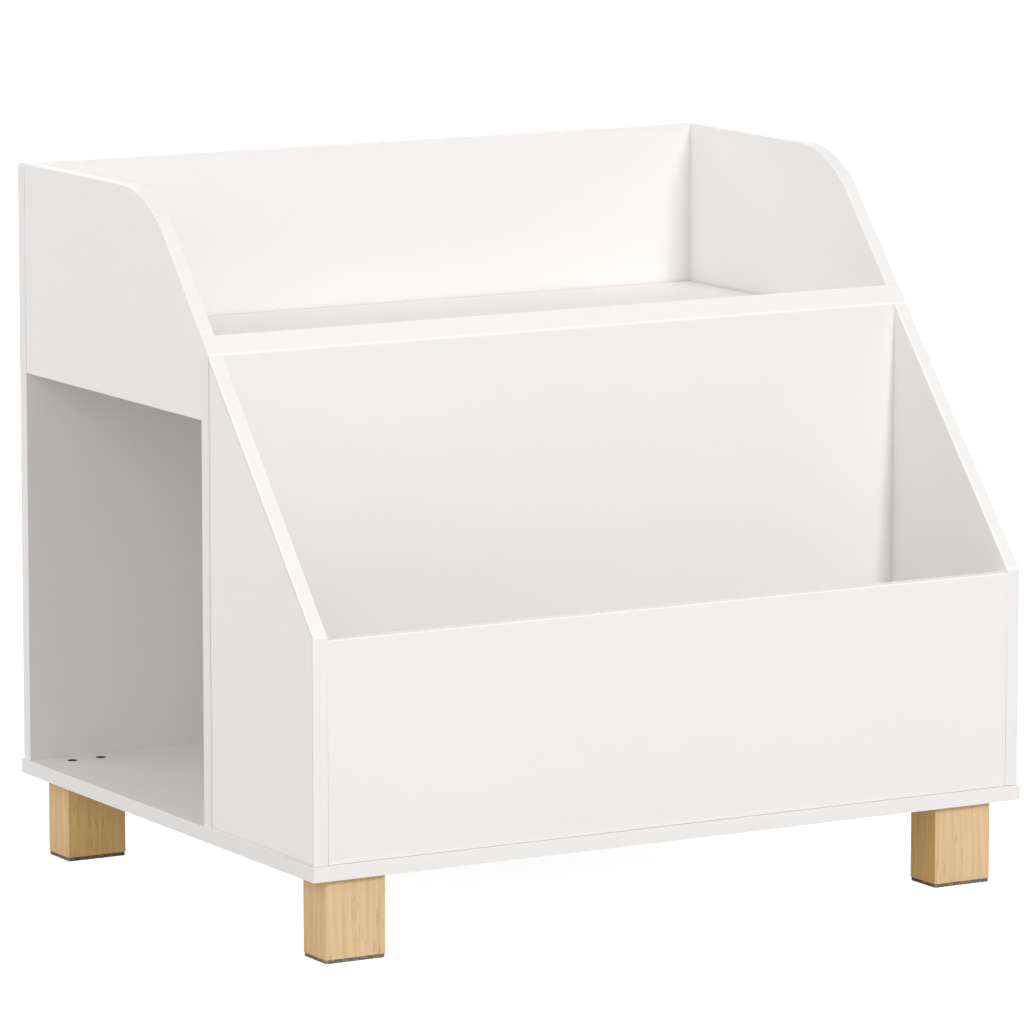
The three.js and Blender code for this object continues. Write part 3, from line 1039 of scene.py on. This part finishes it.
def side_board_outline(node):
    """Up the slope, round the corner and along the level top, with a gap at the back."""
    low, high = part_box(node)
    corner_y = cheek_low.y + (high.z - cheek_front_top) / slope
    front, rear = low.y - CLOSED, high.y - BACK_GAP
    return [
        (front, low.z, 0),
        (rear, low.z, 0),
        (rear, high.z, 0),
        (corner_y, high.z, BOARD_CORNER_RADIUS),
        (front, slope_height(front), 0),
    ]


def front_panel_outline():
    """Closed against the cheeks at the top, with hairlines that open towards the foot and run along it."""
    low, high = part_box("front_panel")
    return [
        (low.x, low.z + FOOT_GAP, 0),
        (high.x, low.z + FOOT_GAP, 0),
        (high.x + CLOSED, high.z, 0),
        (low.x - CLOSED, high.z, 0),
    ]


print("slope:", round(math.degrees(math.atan(slope)), 1), "degrees")

# %% Make the boards
board("bottom_panel", ALONG_Z, box_outline("bottom_panel", ALONG_Z), arris=BOTTOM_ARRIS, arris_highlight=0.0)
board("tray_floor", ALONG_Z, box_outline("tray_floor", ALONG_Z, TRAY_GAP))
board("front_panel", ALONG_Y, front_panel_outline())
outline = box_outline("back_panel", ALONG_Y, upper=BACK_CORNER_RADIUS)
board("back_panel", ALONG_Y, outline, arris=BACK_ARRIS, arris_highlight=0.0)
board("divider_panel", ALONG_X, under_slope("divider_panel"))
for side in ("left", "right"):
    cheek = f"{side}_front_cheek"
    reach = CHEEK_GAP + CLOSED
    board(cheek, ALONG_X, under_slope(cheek, CHEEK_GAP), True, reach, reach * slope)
    outline = side_board_outline(f"{side}_side_board")
    board(f"{side}_side_board", ALONG_X, outline, inner_reach=BACK_GAP + CLOSED, arris_highlight=0.0)

# %% [markdown]
# ## Legs
#
# A leg is a sawn block with its edges eased by hand, the long edges more than the ends. Bevelling a box in
# one go would give all edges the same radius, so the upright edges are done first and the ends after. Then
# the faces are marked for the finish: those that look left or right are darker, as flat-sawn grain and as
# painted shade, and the upright ones that look to the middle of the bin get a warmer painted shade.

# %% Make the legs
LEG_EDGE = 0.6 * MM
LEG_END_EDGE = 0.4 * MM
LEG_EDGE_STEPS = 5
ROUND_PROFILE = 0.5
UPRIGHT = 0.9
SIDEWAYS = 0.8


def ease(shape, edges, radius, steps):
    """Rounds some edges of a bmesh."""
    bmesh.ops.bevel(
        shape, geom=edges, offset=radius, segments=steps, profile=ROUND_PROFILE, affect="EDGES"
    )


def is_upright(edge):
    run = edge.verts[1].co - edge.verts[0].co
    return abs(run.z) > UPRIGHT * run.length


def block(low, high, radius, steps, end_radius):
    """A box as a bmesh, with its upright edges eased first and its ends after."""
    shape = bmesh.new()
    bmesh.ops.create_cube(shape, size=1)
    bmesh.ops.scale(shape, vec=high - low, verts=shape.verts[:])
    bmesh.ops.translate(shape, vec=(low + high) / 2, verts=shape.verts[:])
    ease(shape, [edge for edge in shape.edges if is_upright(edge)], radius, steps)
    ends = [face for face in shape.faces if abs(face.normal.z) > UPRIGHT]
    ease(shape, [edge for face in ends for edge in face.edges], end_radius, ARRIS_STEPS)
    return shape


def mark_wood(shape, inwards):
    """Marks the faces that look left or right, darker as flat-sawn grain and as painted shade, and the
    inward faces that get a painted shade tint.
    """
    flat_sawn = shape.faces.layers.float.new("flat_sawn")
    heart = shape.faces.layers.float.new("heart")
    for face in shape.faces:
        # Left and right faces are darker, partly as flat-sawn grain and partly as painted shade; upright
        # faces that look inwards get painted shade.
        face[flat_sawn] = 1 if abs(face.normal.x) > SIDEWAYS else 0
        looks_in = max(face.normal.x * inwards.x, face.normal.y * inwards.y) > 0
        face[heart] = 1 if looks_in and abs(face.normal.z) < SIDEWAYS else 0


for node in [node for node in nodes_with("_leg") if node.endswith("_leg")]:
    low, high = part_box(node)
    shape = block(low, high, LEG_EDGE, LEG_EDGE_STEPS, LEG_END_EDGE)
    mark_wood(shape, -(low + high) / 2)
    piece = bore(object_of(shape, f"{node}_visual", LEG_WOOD), low, high)
    finish_piece(piece, "leg_wood", node)

# %% [markdown]
# ## Felt glides
#
# Under each leg is a slab of pressed felt. A clean box would look like rubber, so the slab's rim is uneven
# and short fibres stand out of its sides. The fibres repeat by the hundred, so a tree scatters them:
# points on the faces that look sideways or a little up, a thin three-sided hair on each, leaning out by a
# random amount with a fixed seed. The scatter goes face by face, so the slab is built ring on ring, in an
# order that never changes.

# %% The fibre tree
FIBRE_SIZES = ["Fibre Length", "Fibre Width", "Fibre Density"]
FIBRE_SEED = 11
FIBRE_RISE = 0.2
FIBRE_RISE_SPREAD = 0.25
LEAST_LEAN = (-0.9, -0.9, 0.0)
MOST_LEAN = (0.9, 0.9, 2.2)
SHORTEST_HAIR, LONGEST_HAIR = 0.3, 1.0
# A Random Value node has sockets for every kind of data. These two are the ones for numbers.
RANDOM_MIN, RANDOM_MAX = 2, 3


def fibre_tree():
    tree = ShapeTree("felt_fibres", FIBRE_SIZES)
    length, width, density = tree.sizes
    normal = tree.node("GeometryNodeInputNormal")
    upright = tree.node("ShaderNodeSeparateXYZ", {"Vector": normal}).out("Z")
    off_level = tree.math("ABSOLUTE", upright - FIBRE_RISE, 0)
    sideways = tree.math("LESS_THAN", off_level, FIBRE_RISE_SPREAD)
    sockets = {"Mesh": tree.given, "Selection": sideways, "Density": density, "Seed": FIBRE_SEED}
    spots = tree.node("GeometryNodeDistributePointsOnFaces", sockets, distribute_method="RANDOM")
    spread = {"Min": LEAST_LEAN, "Max": MOST_LEAN, "Seed": FIBRE_SEED + 1}
    lean = tree.node("FunctionNodeRandomValue", spread, data_type="FLOAT_VECTOR")
    way = tree.node("ShaderNodeVectorMath", {0: spots.out("Normal"), 1: lean}, operation="ADD")
    turn = tree.node("FunctionNodeAlignRotationToVector", {"Vector": way}, axis="Z")
    sizes = {"Vertices": 3, "Radius Top": width * 0.2, "Radius Bottom": width, "Depth": length}
    hair = tree.node("GeometryNodeMeshCone", sizes)
    share = {RANDOM_MIN: SHORTEST_HAIR, RANDOM_MAX: LONGEST_HAIR, "Seed": FIBRE_SEED + 2}
    size = tree.node("FunctionNodeRandomValue", share, "Value", data_type="FLOAT")
    sockets = {"Points": spots, "Instance": hair, "Rotation": turn, "Scale": tree.xyz(1, 1, size)}
    hairs = tree.node("GeometryNodeInstanceOnPoints", sockets)
    tree.end_with(tree.joined(tree.given, hairs))
    return tree


FIBRE_TREE = fibre_tree()

# %% Make the glides
FELT_EDGE = 0.5 * MM
FELT_ARC = math.radians(22.5)
FELT_STEP = 1.2 * MM
FELT_WAVE = 0.35 * MM
FELT_WAVE_SCALE = 260
RIM_STEPS = 4
FIBRES = {"Fibre Length": 2.0 * MM, "Fibre Width": 0.08 * MM, "Fibre Density": 1.6e6}


def felt_outline(node, inset):
    """A ring round a pad, with round corners and short steps along its sides, moved inwards."""
    radius = 2 * FELT_EDGE - inset
    points = rounded(box_outline(node, ALONG_Z, inset, radius, radius), FELT_ARC)
    pieces = math.ceil(sides_of(node)[2] / FELT_STEP)
    outline = []
    for index, point in enumerate(points):
        after = points[(index + 1) % len(points)]
        steps = pieces if (after - point).length > FELT_STEP else 1
        outline += [point.lerp(after, step / steps) for step in range(steps)]
    return outline


def felt_slab(node):
    """A slab with a soft, uneven rim, built ring on ring from the bottom up."""
    low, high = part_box(node)
    turns = [math.pi / 2 * step / RIM_STEPS for step in range(RIM_STEPS + 1)]
    rim = [(FELT_EDGE * (1 - math.sin(turn)), low.z + FELT_EDGE * (1 - math.cos(turn))) for turn in turns]
    rim += [(inset, low.z + high.z - height) for inset, height in reversed(rim)]
    middle = (low + high) / 2
    points = []
    for inset, height in rim:
        for flat in felt_outline(node, inset):
            point = flat.to_3d() + UP * height
            outwards = (flat - middle.xy).normalized().to_3d()
            points.append(point + outwards * noise.noise(point * FELT_WAVE_SCALE) * FELT_WAVE)
    around = len(points) // len(rim)
    faces = [range(around - 1, -1, -1), range(len(points) - around, len(points))]
    for start in range(0, len(points) - around, around):
        for step in range(around):
            after = (step + 1) % around
            faces.append((start + step, start + after, start + around + after, start + around + step))
    mesh = bpy.data.meshes.new(f"{node}_slab")
    mesh.from_pydata(points, [], [list(face) for face in faces])
    return mesh


for node in nodes_with("_leg_pad"):
    piece = run_tree(f"{node}_visual", FIBRE_TREE, felt_slab(node), FIBRES | {"Material": FELT})
    finish_piece(piece, "pad_felt", node)

# %% [markdown]
# ## Bolts and dowels
#
# The bolts of the cam locks and the dowels lie inside the boards, where nobody sees them. Their plain
# shapes in the frame are right as they are, so they stay and only get a finish.

# %% Finish the hidden nodes
HIDDEN = (("_cam_bolt", STEEL, "screw_steel"), ("_dowel", DOWEL_WOOD, "dowel_beech"))
for part, material, slot in HIDDEN:
    for node in nodes_with(part):
        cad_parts[node].material_slots[0].material = material
    print(f"{slot}: {len(nodes_with(part))} hidden nodes")

# %% [markdown]
# ## Floor and light
#
# The bin stands in a white studio with an even white surround. A small lamp in front, a little to the
# right, makes the front the brightest side. Broad, soft lamps on the left, from the front round to the
# back, keep the left side a little greyer. One more behind lights the tray and the back, and weaker ones
# on the right and overhead fill in. Together they stay at a plain level, so that white boards are bright
# but not burnt out.
#
# The floor is pale. To the camera it is almost white by itself and takes only part of its brightness from
# the lamps, so that a soft shadow stays under the bin. Seen from below it is clear, so that the underside
# can be looked at.

# %% The floor
FLOOR_SIZE = 30.0
FLOOR_DROP = 0.05 * MM
FLOOR_GLOW = 0.88
FLOOR_SEEN = (0.60, 0.60, 0.60, 1)
FLOOR_ALBEDO = (0.61, 0.60, 0.58, 1)


def seen_rays(camera_ray):
    """1 for rays from the camera, mirrors and glass, 0 for rays that carry light."""
    graph = camera_ray.graph
    shiny = graph.math("MAXIMUM", camera_ray.out("Is Glossy Ray"), camera_ray.out("Is Transmission Ray"))
    return graph.math("MAXIMUM", camera_ray, shiny)


def floor_material():
    material = bpy.data.materials.new("studio_floor")
    material.use_nodes = True
    graph = Graph(material.node_tree)
    graph.tree.nodes.remove(graph.tree.nodes["Principled BSDF"])
    camera_ray = graph.node("ShaderNodeLightPath", output="Is Camera Ray")
    seen = seen_rays(camera_ray)
    lighting = graph.node("ShaderNodeBsdfDiffuse", {"Color": FLOOR_ALBEDO})
    shaded = graph.node("ShaderNodeBsdfDiffuse", {"Color": FLOOR_SEEN})
    glow = graph.node("ShaderNodeEmission", {"Strength": FLOOR_GLOW})
    shown = graph.node("ShaderNodeAddShader", {0: shaded, 1: glow})
    surface = graph.node("ShaderNodeMixShader", {0: seen, 1: lighting, 2: shown})
    below = graph.node("ShaderNodeNewGeometry", output="Backfacing")
    clear = graph.node("ShaderNodeBsdfTransparent")
    both = graph.node("ShaderNodeMixShader", {0: below * camera_ray, 1: surface, 2: clear})
    graph.feed(graph.tree.nodes["Material Output"].inputs["Surface"], both)
    return material


floor_mesh = bpy.data.meshes.new("floor")
half = FLOOR_SIZE / 2
sides = ((-half, -half), (half, -half), (half, half), (-half, half))
floor_mesh.from_pydata([(x, y, -FLOOR_DROP) for x, y in sides], [], [(0, 1, 2, 3)])
floor_mesh.materials.append(floor_material())
link_object("floor", floor_mesh)
print("floor:", FLOOR_SIZE, "m wide")

# %% The surround
SURROUND = 0.41
world = bpy.data.worlds.new("studio")
world.use_nodes = True
bpy.context.scene.world = world
sky = Graph(world.node_tree)
seen = seen_rays(sky.node("ShaderNodeLightPath", output="Is Camera Ray"))
backdrop = world.node_tree.nodes["Background"]
sky.feed(backdrop.inputs["Color"], (1, 1, 1, 1))
sky.feed(backdrop.inputs["Strength"], SURROUND + seen * (1 - SURROUND))
print("surround:", SURROUND, "on the bin, 1 to the camera")

# %% The lamps
# Square lamps that look to the middle of the bin: their place, size in metres and power in watts.
LAMPS = {
    "front_lamp": ((0.54, -4.0, 1.6), 0.45, 66.0),
    "left_front_lamp": ((-2.6, -3.4, 2.0), 2.0, 19.0),
    "left_lamp": ((-3.6, -0.4, 1.8), 2.0, 30.0),
    "left_back_lamp": ((-3.0, 2.2, 2.0), 2.0, 23.0),
    "back_lamp": ((2.0, 3.8, 2.2), 2.0, 62.0),
    "right_lamp": ((3.8, 0.9, 1.6), 2.0, 17.0),
    "top_lamp": ((0.1, -0.6, 3.6), 2.0, 18.0),
}
bin_middle = (cad_low + cad_high) / 2
for name, (place, size, watts) in LAMPS.items():
    lamp = bpy.data.lights.new(name, "AREA")
    lamp.size = size
    lamp.energy = watts
    aim(link_object(name, lamp), place, bin_middle - Vector(place))
bpy.context.scene.view_settings.view_transform = "Standard"
print("lamps:", list(LAMPS))
